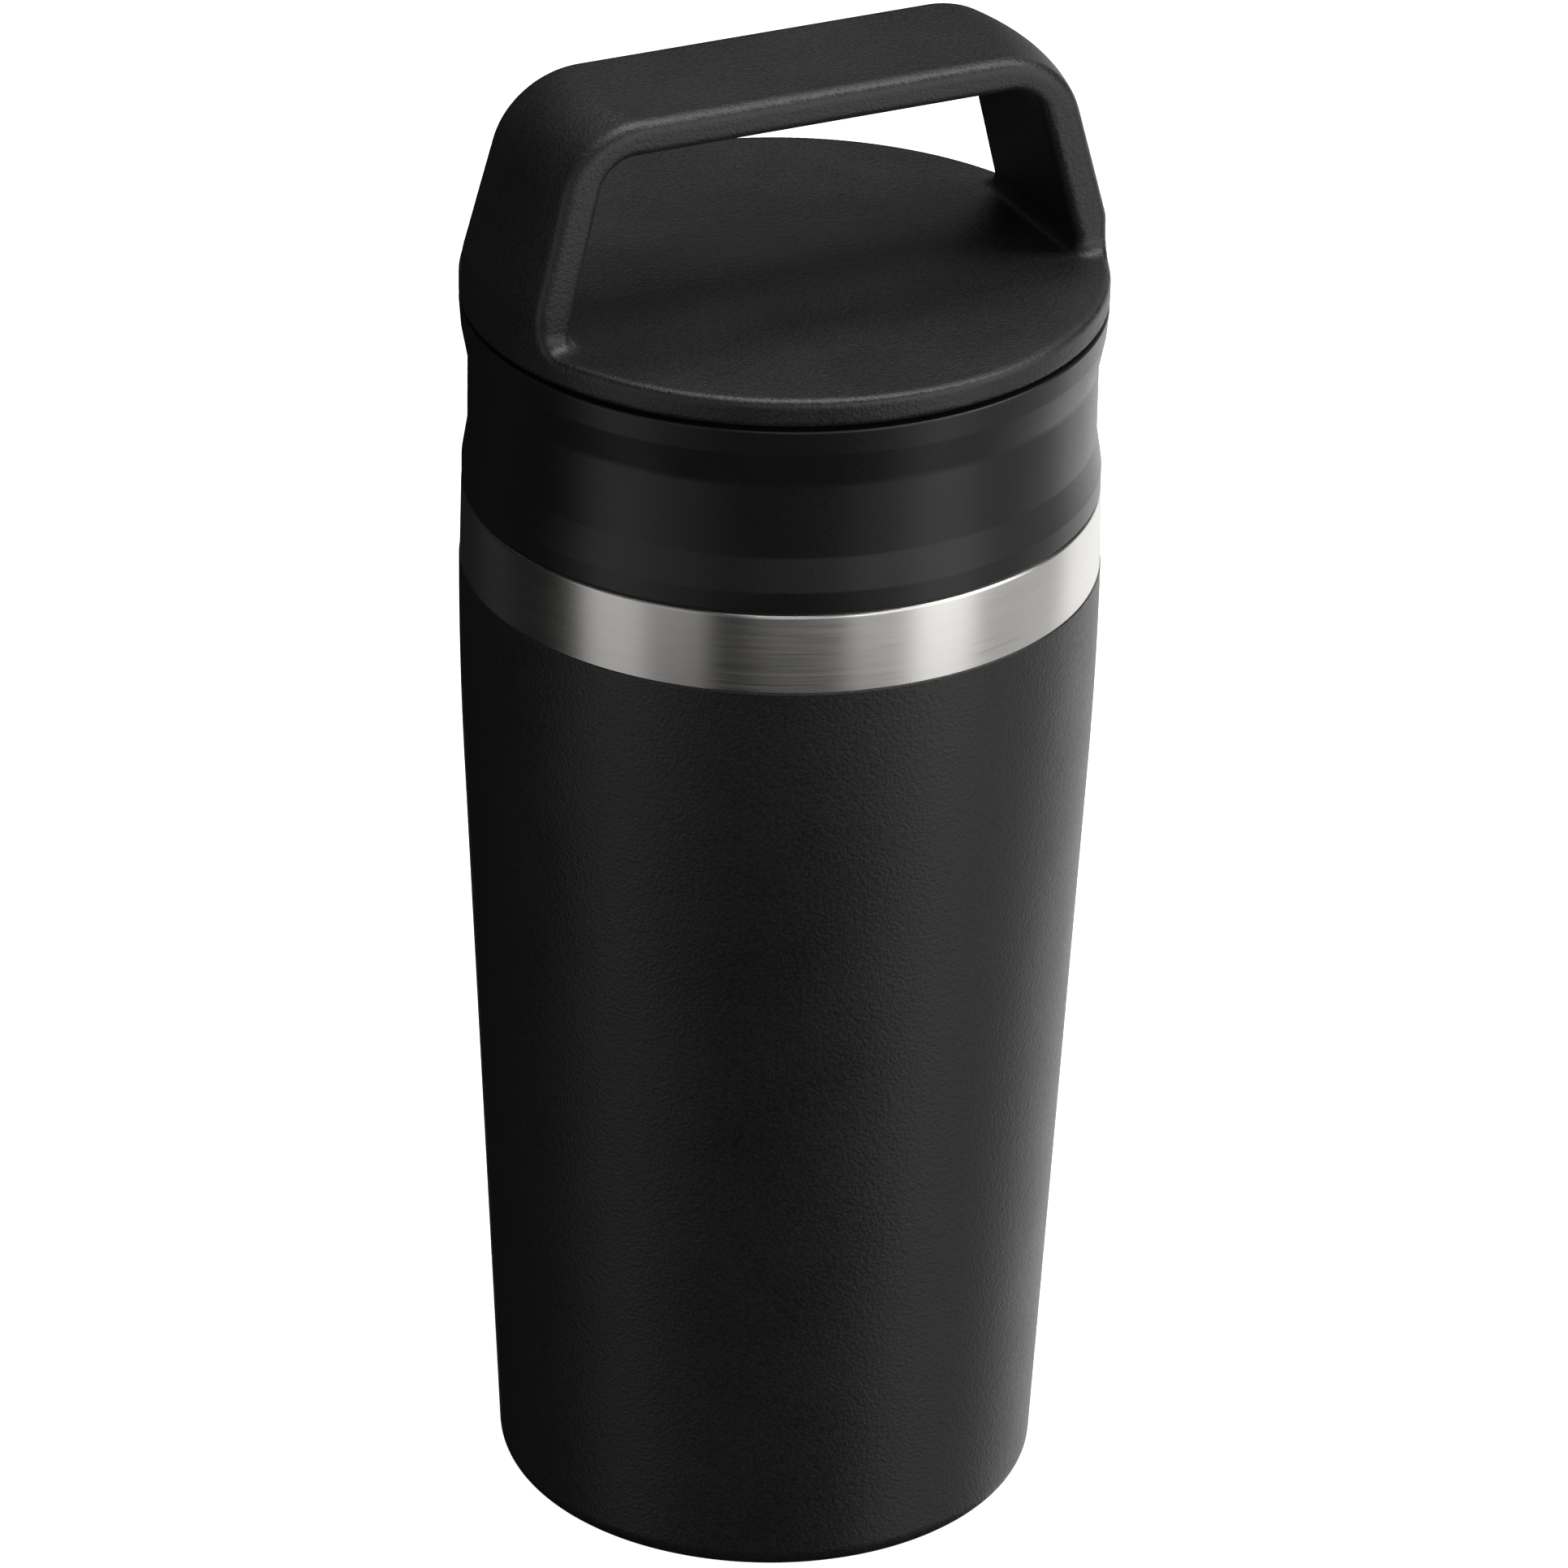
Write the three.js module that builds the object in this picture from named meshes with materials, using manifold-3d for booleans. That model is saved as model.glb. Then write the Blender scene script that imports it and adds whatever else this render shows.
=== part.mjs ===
// Insulated travel mug: a double-walled steel vessel, a screw-in drinking collar and a screw-in cap
// that carries a rigid loop handle. Millimetres, +Z up, origin at the centre of the base.
// The handle spans the X axis. Both threads are right-handed and share one lead.
import * as THREE from "three";
import { mergeVertices } from "three/addons/utils/BufferGeometryUtils.js";
import Module from "manifold-3d";

const wasm = await Module();
wasm.setup();

// ---- Driving dimensions -------------------------------------------------------------------------

const CAP_RADIUS = 40; // widest part of the mug
const VESSEL_HEIGHT = 138.5; // base to the vessel's steel lip
const COLLAR_HEIGHT = 24.9; // steel lip to the drinking lip
const CAP_GAP = 0.3; // parting line between the drinking lip and the cap
const DISC_THICKNESS = 3.4; // cap disc, at its edge
const HANDLE_HEIGHT = 27; // disc top to handle top

const SHEET = 0.6; // steel sheet
const VACUUM_GAP = 3; // between the two steel walls
const FIT = 0.05; // between pieces that are joined for good
const TURNING_FIT = 0.2; // between a piece and the ring that it turns in
const FACETS = 48; // segments of every turned surface

// Outer wall of the vessel: upright at the coat's upper edge, easing into a straight taper below it
const COAT_TOP = 128.2;
const COAT_RADIUS = 39.9;
const COAT_STEP = 0.1; // the powder coat stands this far out of the bare steel
const EASE_HEIGHT = 28;
const TAPER = 0.0505; // radius lost per millimetre of height
const FOOT_HEIGHT = 0.5; // steel foot above the standing plane
const FOOT_CORNER = 3.4;
const FOOT_OPENING = 29.4; // radius of the hole that the base plate closes

// Mouth of the vessel
const BAND_TOP_RADIUS = 39.64;
const NECK_RADIUS = 35.5;
const NECK_BOTTOM = 121;
const NECK_SHOULDER = 3; // height of the slope from the cup's wall in to the neck
const CUP_FLOOR = 7.6;
const CUP_CORNER = 9;

// Underside of the vessel
const PORT = { radius: 0.9, dimple: 6, slope: 2, rise: 1.2 };
const PLATE = { radius: FOOT_OPENING - FIT, low: 0.9, floor: 1.6, skirt: 0.6 };

// Threads: ridges of one section, two starts. A male ridge bears on the underside of a female one.
const LEAD = 10;
const STARTS = 2;
const RIDGE = { root: 1.9, crest: 1, bury: 0.4 }; // widths along the axis, and depth into the wall
const RIDGE_STEP = (2 * Math.PI) / FACETS;
const RIDGE_FADE = 2.5; // facets over which a ridge runs out at each end
const MALE_STEPS = 16; // facets spanned by one male ridge
const NECK_THREAD = {
  wall: NECK_RADIUS,
  crest: 34.4,
  shank: 34.1,
  maleCrest: 35.2,
  low: -12.4, // start of the male ridges, from the steel lip
  femaleSteps: 37,
};
const CAP_THREAD = {
  wall: 32.8,
  crest: 31.8,
  shank: 31.5,
  maleCrest: 32.5,
  low: -14.2, // start of the male ridges, from the underside of the cap's rim
  femaleSteps: 43,
};

// Drinking collar, heights from the steel lip
const COLLAR = {
  foot: 0.1,
  footRadius: 39.6,
  flareStart: 3,
  waistStart: 7.5,
  waistRadius: 38.85,
  waistEnd: 16.6,
  rimStart: 22.1,
  rimRadius: CAP_RADIUS,
  skin: 1.7,
  liningThickness: 1.8,
  crown: 2.2,
};
const SEAT_HEIGHT = 7.5; // ledge that the cap seal closes on
const SEAT_RADIUS = 29.8;
const SHANK_LENGTH = 14;
const SHANK_BORE = 31.6;
const FLANGE = { radius: 37.7, low: 1.4, high: 3.8 };

// Cap, heights from the underside of its rim
const RECESS = { radius: 36.2, depth: 1.4 };
const PLUG = { wall: 1.6, floorLow: -15.5, spigotRadius: 28.2, spigotLow: -17.2, flangeRadius: 36 };
const DISC_FILLET = 0.9;

// Handle, heights from the disc's top
const HANDLE = {
  creaseHeight: 4.4, // the outer faces stay flush with the disc's wall up to here
  lean: 0.266, // inward lean of the legs
  legThickness: 6.4,
  barThickness: 3.85,
  halfWidth: 12.1,
  narrowing: 0.055, // half width lost per millimetre of height
  outerCorner: 11,
  innerCorner: 4.8,
  fillet: 1.4,
  creaseEase: 0.8, // half the height over which the outer faces turn at the crease
  roundStart: 20, // the bar's top is flat up to this distance from the middle,
  roundEnd: 32, // and the leg's outer face has the disc's round from here on
  footDepth: 1.6, // how far the legs reach down into the disc
};

// ---- Materials ----------------------------------------------------------------------------------

function material(color, roughness, metalness) {
  return new THREE.MeshStandardMaterial({ color, roughness, metalness, flatShading: true });
}
const POWDER_COAT = material(0x1b1c1c, 0.62, 0.15);
const BRUSHED_STEEL = material(0xb9b6b0, 0.32, 1);
const SATIN_PLASTIC = material(0x121212, 0.38, 0);
const GRAINED_PLASTIC = material(0x171717, 0.6, 0);
const INNER_PLASTIC = material(0x202020, 0.5, 0);
const SILICONE = material(0x2b2b2c, 0.75, 0);
const FOAM = material(0xd9d6cc, 0.9, 0);
const GETTER_METAL = material(0x8d8f92, 0.55, 1);

// ---- Shape helpers ------------------------------------------------------------------------------

// A closed geometry with shared vertices and its faces pointing out.
function closed(geometry) {
  geometry.deleteAttribute("normal");
  geometry.deleteAttribute("uv");
  const merged = mergeVertices(geometry, 1e-3);
  if (signedVolume(merged) < 0) {
    const index = merged.index.array;
    for (let i = 0; i < index.length; i += 3) {
      [index[i + 1], index[i + 2]] = [index[i + 2], index[i + 1]];
    }
  }
  return merged;
}

function signedVolume(geometry) {
  const index = geometry.index.array;
  const position = geometry.getAttribute("position");
  const corners = [new THREE.Vector3(), new THREE.Vector3(), new THREE.Vector3()];
  let sum = 0;
  for (let i = 0; i < index.length; i += 3) {
    corners.forEach((corner, k) => corner.fromBufferAttribute(position, index[i + k]));
    sum += corners[0].dot(corners[1].clone().cross(corners[2])) / 6;
  }
  return sum;
}

function toSolid(geometry) {
  const ready = closed(geometry);
  const vertProperties = new Float32Array(ready.getAttribute("position").array);
  const triVerts = new Uint32Array(ready.index.array);
  return new wasm.Manifold(new wasm.Mesh({ numProp: 3, vertProperties, triVerts }));
}

function fromSolid(solid) {
  const { vertProperties, triVerts } = solid.getMesh();
  const geometry = new THREE.BufferGeometry();
  geometry.setAttribute("position", new THREE.BufferAttribute(vertProperties, 3));
  geometry.setIndex(new THREE.BufferAttribute(triVerts, 1));
  return geometry;
}

function union(first, ...others) {
  return fromSolid(others.reduce((sum, other) => sum.add(toSolid(other)), toSolid(first)));
}

// Points [radius, height] along an arc; angles in degrees from the outward direction.
function arc(radius, height, size, from, to, steps) {
  const points = [];
  for (let i = 0; i <= steps; i++) {
    const angle = THREE.MathUtils.degToRad(from + ((to - from) * i) / steps);
    points.push([radius + size * Math.cos(angle), height + size * Math.sin(angle)]);
  }
  return points;
}

// A turned solid about Z. The profile starts and ends on the axis, or is closed here.
function turned(profile) {
  const points = profile.map(([radius, height]) => new THREE.Vector2(Math.max(radius, 0), height));
  const ends = [points[0], points[points.length - 1]];
  if (ends.some((end) => end.x > 0)) points.push(points[0].clone());
  return closed(new THREE.LatheGeometry(points, FACETS).rotateX(Math.PI / 2));
}

// One ridge of a right-handed thread, from facet `first` over `steps` facets. It starts at height z,
// stands from `wall` to `crest` (either may be larger) and fades out at both ends.
function ridge(wall, crest, z, first, steps) {
  const outward = Math.sign(crest - wall);
  const root = wall - outward * RIDGE.bury;
  const position = [];
  for (let i = 0; i <= steps; i++) {
    const angle = (first + i) * RIDGE_STEP;
    const centre = z + (LEAD * i) / FACETS;
    const fade = Math.min(1, (i + 0.5) / RIDGE_FADE, (steps - i + 0.5) / RIDGE_FADE);
    const top = wall + (crest - wall) * fade;
    const section = [
      [root, -RIDGE.root / 2],
      [root, RIDGE.root / 2],
      [top, (RIDGE.crest * fade) / 2],
      [top, (-RIDGE.crest * fade) / 2],
    ];
    for (const [radius, offset] of section) {
      position.push(radius * Math.sin(angle), -radius * Math.cos(angle), centre + offset);
    }
  }
  return closed(loft(position, 4));
}

// A skin over rings of `size` points each, with flat ends.
function loft(position, size) {
  const rings = position.length / 3 / size;
  const index = [];
  for (let i = 0; i + 1 < rings; i++) {
    for (let j = 0; j < size; j++) {
      const a = i * size + j;
      const b = i * size + ((j + 1) % size);
      index.push(a, b, b + size, a, b + size, a + size);
    }
  }
  const last = (rings - 1) * size;
  for (let j = 1; j + 1 < size; j++) {
    index.push(0, j + 1, j);
    index.push(last, last + j, last + j + 1);
  }
  const geometry = new THREE.BufferGeometry();
  geometry.setAttribute("position", new THREE.Float32BufferAttribute(position, 3));
  geometry.setIndex(index);
  return geometry;
}

// Ridges in the bore, half a pitch above the male ones. `origin` is the height that low counts from.
function femaleRidges(thread, origin) {
  const z = origin + thread.low + LEAD / STARTS / 2;
  return startAngles().map((first) => ridge(thread.wall, thread.crest, z, first, thread.femaleSteps));
}

function maleRidges(thread) {
  return startAngles().map((first) =>
    ridge(thread.shank, thread.maleCrest, thread.low, first, MALE_STEPS),
  );
}

function startAngles() {
  return Array.from({ length: STARTS }, (_, i) => (i * FACETS) / STARTS);
}

// Outer radius of the powder-coated wall at a height above the standing plane.
function coatRadius(z) {
  const drop = COAT_TOP - z;
  if (drop < EASE_HEIGHT) return COAT_RADIUS - (TAPER * drop * drop) / (2 * EASE_HEIGHT);
  return COAT_RADIUS - TAPER * (drop - EASE_HEIGHT / 2);
}

// [radius, height] down the tapered wall, `inset` inside its outer surface; the eased stretch takes
// `steps` chords.
function wallPoints(top, bottom, inset, steps) {
  const easeBottom = COAT_TOP - EASE_HEIGHT;
  const heights = [];
  for (let i = 0; i <= steps; i++) heights.push(top + ((easeBottom - top) * i) / steps);
  heights.push(bottom);
  return heights.map((z) => [coatRadius(z) - inset, z]);
}

// ---- Vessel -------------------------------------------------------------------------------------

function outerShell() {
  const cornerHeight = FOOT_HEIGHT + FOOT_CORNER;
  const cornerCentre = coatRadius(cornerHeight) - FOOT_CORNER;
  const inside = FOOT_CORNER - SHEET;
  const lipHeight = 2.2;
  return turned([
    ...wallPoints(COAT_TOP, cornerHeight, 0, 3),
    ...arc(cornerCentre, cornerHeight, FOOT_CORNER, 0, -90, 4).slice(1),
    [FOOT_OPENING, FOOT_HEIGHT],
    [FOOT_OPENING, lipHeight],
    [FOOT_OPENING + SHEET, lipHeight],
    [FOOT_OPENING + SHEET, FOOT_HEIGHT + SHEET],
    ...arc(cornerCentre, cornerHeight, inside, -90, 0, 2),
    ...wallPoints(COAT_TOP, cornerHeight, SHEET, 1).reverse().slice(1),
  ]);
}

function innerShell() {
  const bandFoot = COAT_TOP + FIT;
  const bandRadius = COAT_RADIUS - COAT_STEP;
  const inset = 2 * SHEET + VACUUM_GAP;
  const shoulder = NECK_BOTTOM - NECK_SHOULDER;
  const cornerHeight = CUP_FLOOR + CUP_CORNER;
  const cupRadius = coatRadius(cornerHeight) - inset;
  const cornerCentre = cupRadius - CUP_CORNER;
  const shell = turned([
    [0, CUP_FLOOR],
    ...arc(cornerCentre, cornerHeight, CUP_CORNER, -90, 0, 4),
    ...wallPoints(shoulder, cornerHeight, inset, 1).reverse().slice(1),
    [NECK_RADIUS, NECK_BOTTOM],
    ...arc(NECK_RADIUS + SHEET, VESSEL_HEIGHT - SHEET, SHEET, 180, 90, 2),
    ...arc(BAND_TOP_RADIUS - SHEET, VESSEL_HEIGHT - SHEET, SHEET, 90, 0, 2),
    [bandRadius, bandFoot],
    [bandRadius - SHEET, bandFoot],
    [BAND_TOP_RADIUS - SHEET, VESSEL_HEIGHT - SHEET],
    [NECK_RADIUS + SHEET, VESSEL_HEIGHT - SHEET],
    [NECK_RADIUS + SHEET, NECK_BOTTOM],
    ...wallPoints(shoulder, cornerHeight, inset - SHEET, 1),
    ...arc(cornerCentre, cornerHeight, CUP_CORNER + SHEET, 0, -90, 3).slice(1),
    [0, CUP_FLOOR - SHEET],
  ]);
  return union(shell, ...femaleRidges(NECK_THREAD, VESSEL_HEIGHT));
}

function basePlate() {
  const top = PLATE.floor + SHEET;
  return turned([
    [PLATE.radius, PLATE.low],
    [PLATE.radius, top],
    [PORT.dimple, top],
    [PORT.dimple - PORT.slope, top + PORT.rise],
    [PORT.radius, top + PORT.rise],
    [PORT.radius, PLATE.floor + PORT.rise],
    [PORT.dimple - PORT.slope, PLATE.floor + PORT.rise],
    [PORT.dimple, PLATE.floor],
    [PLATE.radius - PLATE.skirt, PLATE.floor],
    [PLATE.radius - PLATE.skirt, PLATE.low],
  ]);
}

function portSeal() {
  const underside = PLATE.floor + PORT.rise - FIT;
  const head = { radius: 2.4, thickness: 0.6, bevel: 0.4 };
  return turned([
    [0, underside - head.thickness],
    [head.radius - head.bevel, underside - head.thickness],
    [head.radius, underside - head.thickness + head.bevel],
    [head.radius, underside],
    [PORT.radius - FIT, underside],
    [PORT.radius - FIT, underside + SHEET],
    [0, underside + SHEET],
  ]);
}

function getter() {
  const top = CUP_FLOOR - SHEET - FIT;
  const height = 1.8;
  const radius = 5;
  const bevel = 0.5;
  return turned([
    [0, top - height],
    [radius - bevel, top - height],
    [radius, top - height + bevel],
    [radius, top],
    [0, top],
  ]);
}

function basePad() {
  const radius = 28.4;
  const top = PLATE.floor - FIT;
  const groove = { inner: 21.5, outer: 23, depth: 0.5, slope: 0.3 };
  const edge = 0.6;
  return turned([
    [0, 0],
    [groove.inner, 0],
    [groove.inner + groove.slope, groove.depth],
    [groove.outer - groove.slope, groove.depth],
    [groove.outer, 0],
    ...arc(radius - edge, edge, edge, -90, 0, 2),
    [radius, top],
    [0, top],
  ]);
}

// ---- Collar, heights from the steel lip ---------------------------------------------------------

function collarOutline() {
  const footBevel = 0.3;
  const rimEase = 0.12; // the slope under the rim runs out over five times this height
  const rimFillet = 0.8;
  return [
    [COLLAR.footRadius - footBevel, COLLAR.foot],
    [COLLAR.footRadius, COLLAR.foot + footBevel],
    [COLLAR.footRadius, COLLAR.flareStart],
    [COLLAR.waistRadius, COLLAR.waistStart],
    [COLLAR.waistRadius, COLLAR.waistEnd],
    [COLLAR.rimRadius - rimEase, COLLAR.rimStart - 5 * rimEase],
    [COLLAR.rimRadius, COLLAR.rimStart],
    ...arc(COLLAR.rimRadius - rimFillet, COLLAR_HEIGHT - rimFillet, rimFillet, 0, 90, 2),
  ];
}

function drinkingCollar() {
  const lipFillet = 1.4;
  const lining = CAP_THREAD.wall + COLLAR.liningThickness;
  const ceiling = COLLAR_HEIGHT - COLLAR.crown;
  const liningFoot = SEAT_HEIGHT + FIT;
  const body = turned([
    ...collarOutline(),
    ...arc(CAP_THREAD.wall + lipFillet, COLLAR_HEIGHT - lipFillet, lipFillet, 90, 180, 2),
    [CAP_THREAD.wall, liningFoot],
    [lining, liningFoot],
    [lining, ceiling],
    [COLLAR.rimRadius - COLLAR.skin, ceiling],
    [COLLAR.rimRadius - COLLAR.skin, COLLAR.rimStart],
    [COLLAR.waistRadius - COLLAR.skin, COLLAR.waistEnd],
    [COLLAR.waistRadius - COLLAR.skin, COLLAR.waistStart],
    [COLLAR.footRadius - COLLAR.skin, COLLAR.flareStart],
    [COLLAR.footRadius - COLLAR.skin, COLLAR.foot],
  ]);
  return union(body, ...femaleRidges(CAP_THREAD, COLLAR_HEIGHT + CAP_GAP));
}

function collarThreadRing() {
  const seatOuter = CAP_THREAD.wall + COLLAR.liningThickness;
  const ledge = 2.2;
  const leadIn = 0.6;
  const ledgeBevel = 0.4;
  const body = turned([
    [NECK_THREAD.shank - leadIn, -SHANK_LENGTH],
    [NECK_THREAD.shank, -SHANK_LENGTH + leadIn],
    [NECK_THREAD.shank, FLANGE.low],
    [FLANGE.radius, FLANGE.low],
    [FLANGE.radius, FLANGE.high],
    [seatOuter, FLANGE.high],
    [seatOuter, SEAT_HEIGHT],
    [SEAT_RADIUS + ledgeBevel, SEAT_HEIGHT],
    [SEAT_RADIUS, SEAT_HEIGHT - ledgeBevel],
    [SEAT_RADIUS, SEAT_HEIGHT - ledge],
    [SHANK_BORE, SEAT_HEIGHT - ledge - (SHANK_BORE - SEAT_RADIUS)],
    [SHANK_BORE, -SHANK_LENGTH],
  ]);
  return union(body, ...maleRidges(NECK_THREAD));
}

function collarGasket() {
  const size = 0.3;
  const inner = NECK_RADIUS + size;
  const outer = FLANGE.radius - FIT;
  const low = FIT;
  const high = FLANGE.low - FIT;
  return turned([
    ...arc(outer - size, low + size, size, -90, 0, 1),
    ...arc(outer - size, high - size, size, 0, 90, 1),
    ...arc(inner + size, high - size, size, 90, 180, 1),
    ...arc(inner + size, low + size, size, 180, 270, 1),
  ]);
}

// ---- Cap, heights from the underside of its rim -------------------------------------------------

function capShell() {
  const rimBevel = 0.3;
  const disc = turned([
    [0, RECESS.depth],
    [RECESS.radius, RECESS.depth],
    [RECESS.radius, 0],
    [CAP_RADIUS - rimBevel, 0],
    [CAP_RADIUS, rimBevel],
    ...arc(CAP_RADIUS - DISC_FILLET, DISC_THICKNESS - DISC_FILLET, DISC_FILLET, 0, 90, 3),
    [0, DISC_THICKNESS],
  ]);
  return union(disc, handle());
}

// The handle is a loft of rounded sections from one foot over the bar to the other. Each station has
// an outer and an inner point in the XZ plane; the outer faces of the legs follow the disc's round.
function handle() {
  const left = handleStations();
  const right = left.map(({ outer, inner }) => ({
    outer: [-outer[0], outer[1]],
    inner: [-inner[0], inner[1]],
  }));
  const stations = [...left, ...right.reverse()];
  const position = stations.flatMap(({ outer, inner }) => handleSection(outer, inner));
  return closed(loft(position, position.length / 3 / stations.length));
}

function handleStations() {
  const { lean, legThickness, outerCorner, innerCorner, creaseHeight, creaseEase, footDepth } = HANDLE;
  const top = DISC_THICKNESS + HANDLE_HEIGHT;
  const crease = DISC_THICKNESS + creaseHeight;
  const underside = top - HANDLE.barThickness;
  const leanAngle = THREE.MathUtils.radToDeg(Math.atan(lean));
  const legX = (z) => CAP_RADIUS - lean * (z - crease);
  const across = 1 / Math.cos(Math.atan(lean));
  const cornerX = (size, offset, z) => legX(z - size) - offset - size * across;
  const outerCentre = [cornerX(outerCorner, 0, top), top - outerCorner];
  const innerCentre = [cornerX(innerCorner, legThickness, underside), underside - innerCorner];
  const outerArc = arc(...outerCentre, outerCorner, leanAngle, 90, 6);
  const innerArc = arc(...innerCentre, innerCorner, leanAngle, 90, 6);
  const foot = DISC_THICKNESS - footDepth;
  const legStation = (z) => ({
    outer: [Math.min(legX(z), CAP_RADIUS), z],
    inner: [legX(z) - legThickness, z],
  });
  const stations = [
    ...[foot, crease - creaseEase, crease + creaseEase].map(legStation),
    ...outerArc.map((outer, i) => ({ outer, inner: innerArc[i] })),
  ];
  return stations.map(({ outer, inner }) => ({
    outer: [-outer[0], outer[1]],
    inner: [-inner[0], inner[1]],
  }));
}

// Rounded rectangle between the inner and the outer point, widened along Y.
function handleSection(outer, inner) {
  const thickness = Math.hypot(outer[0] - inner[0], outer[1] - inner[1]);
  const { fillet, narrowing } = HANDLE;
  const points = [];
  const corners = [
    [1, 1, 0],
    [-1, 1, 90],
    [-1, -1, 180],
    [1, -1, 270],
  ];
  for (const [side, face, from] of corners) {
    for (const [u, v] of arc(0, 0, fillet, from, from + 90, 3)) {
      const depth = side > 0 ? thickness - fillet + u : fillet + u;
      const share = depth / thickness;
      const x = inner[0] + (outer[0] - inner[0]) * share;
      const z = inner[1] + (outer[1] - inner[1]) * share;
      const half = HANDLE.halfWidth - narrowing * Math.max(0, z - DISC_THICKNESS);
      const y = face * (half - fillet) + v;
      points.push(x - Math.sign(x) * roundness(x, y, z) * share, y, z);
    }
  }
  return points.flat();
}

// How far the outer face of a leg falls back from the tangent plane at a distance y from its middle.
function roundness(x, y, z) {
  const onLeg = THREE.MathUtils.smoothstep(Math.abs(x), HANDLE.roundStart, HANDLE.roundEnd);
  const radius = CAP_RADIUS - HANDLE.lean * Math.max(0, z - DISC_THICKNESS - HANDLE.creaseHeight);
  return onLeg * (radius - Math.sqrt(radius * radius - y * y));
}

function capPlug() {
  const bore = CAP_THREAD.shank - PLUG.wall;
  const floorHigh = PLUG.floorLow + PLUG.wall;
  const bevel = 0.5;
  const body = turned([
    [0, PLUG.spigotLow],
    [PLUG.spigotRadius - bevel, PLUG.spigotLow],
    [PLUG.spigotRadius, PLUG.spigotLow + bevel],
    [PLUG.spigotRadius, PLUG.floorLow],
    [CAP_THREAD.shank, PLUG.floorLow],
    [CAP_THREAD.shank, 0],
    [PLUG.flangeRadius, 0],
    [PLUG.flangeRadius, RECESS.depth - FIT],
    [bore, RECESS.depth - FIT],
    [bore, floorHigh],
    [0, floorHigh],
  ]);
  return union(body, ...maleRidges(CAP_THREAD));
}

function capFoam() {
  const clearance = 0.3;
  const radius = CAP_THREAD.shank - PLUG.wall - clearance;
  const low = PLUG.floorLow + PLUG.wall + FIT;
  const high = RECESS.depth - 2 * FIT;
  return turned([
    [0, low],
    [radius, low],
    [radius, high],
    [0, high],
  ]);
}

function capSeal() {
  const inner = PLUG.spigotRadius + TURNING_FIT;
  const outer = 31.3;
  const low = SEAT_HEIGHT - COLLAR_HEIGHT - CAP_GAP + FIT;
  const high = PLUG.floorLow - FIT;
  const size = 0.5;
  return turned([
    [inner, low],
    ...arc(outer - size, low + size, size, -90, 0, 2),
    ...arc(outer - size, high - size, size, 0, 90, 2),
    [inner, high],
  ]);
}

// ---- Assembly -----------------------------------------------------------------------------------

function part(name, geometry, look) {
  const mesh = new THREE.Mesh(geometry, look.clone());
  mesh.name = name;
  return mesh;
}

function group(height, ...children) {
  const result = new THREE.Group();
  result.position.z = height;
  result.add(...children);
  return result;
}

const capsule = part("getter", getter(), GETTER_METAL);
capsule.position.x = 14; // beside the port, so that the capsule clears the dimple

const vessel = group(
  0,
  part("outer_shell", outerShell(), POWDER_COAT),
  part("inner_shell", innerShell(), BRUSHED_STEEL),
  part("base_plate", basePlate(), BRUSHED_STEEL),
  part("port_seal", portSeal(), GETTER_METAL),
  part("base_pad", basePad(), SILICONE),
  capsule,
);

const cap = group(
  COLLAR_HEIGHT + CAP_GAP,
  part("cap_shell", capShell(), GRAINED_PLASTIC),
  part("cap_plug", capPlug(), INNER_PLASTIC),
  part("cap_foam", capFoam(), FOAM),
  part("cap_seal", capSeal(), SILICONE),
);

const collar = group(
  VESSEL_HEIGHT,
  part("drinking_collar", drinkingCollar(), SATIN_PLASTIC),
  part("collar_thread_ring", collarThreadRing(), INNER_PLASTIC),
  part("collar_gasket", collarGasket(), SILICONE),
  cap,
);

export default group(0, vessel, collar);
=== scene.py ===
"""Looks of an insulated travel mug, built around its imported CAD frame.

Outlines are in millimetres. They take their main heights and radii from the frame's own nodes, and
add the sizes that the nodes' boxes don't show. Meshes are scaled to metres when they are made.
The camera, lights and floor are at the end.
"""

import math

import bmesh
import bpy
import numpy as np
import openvdb
from mathutils import Matrix, Vector


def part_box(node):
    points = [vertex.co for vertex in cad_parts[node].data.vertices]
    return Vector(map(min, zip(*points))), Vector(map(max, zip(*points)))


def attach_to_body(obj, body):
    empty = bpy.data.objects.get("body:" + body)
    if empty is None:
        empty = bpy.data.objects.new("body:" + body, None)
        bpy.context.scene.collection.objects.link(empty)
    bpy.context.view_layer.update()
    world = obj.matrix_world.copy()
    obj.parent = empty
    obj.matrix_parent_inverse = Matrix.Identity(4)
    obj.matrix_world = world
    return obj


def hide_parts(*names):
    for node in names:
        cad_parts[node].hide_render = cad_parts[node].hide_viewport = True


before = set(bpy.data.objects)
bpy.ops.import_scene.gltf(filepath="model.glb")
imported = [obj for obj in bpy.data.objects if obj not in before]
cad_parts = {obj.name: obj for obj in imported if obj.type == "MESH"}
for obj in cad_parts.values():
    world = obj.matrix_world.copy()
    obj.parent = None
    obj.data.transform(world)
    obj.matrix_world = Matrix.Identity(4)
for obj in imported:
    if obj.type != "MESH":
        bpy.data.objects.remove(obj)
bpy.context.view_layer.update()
MM = 0.001


def node_box(node):
    """Lowest and highest corner of a CAD node, in millimetres."""
    low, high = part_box(node)
    return np.array(low) / MM, np.array(high) / MM


# ---- Heights and radii that the frame gives -----------------------------------------------------

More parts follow.
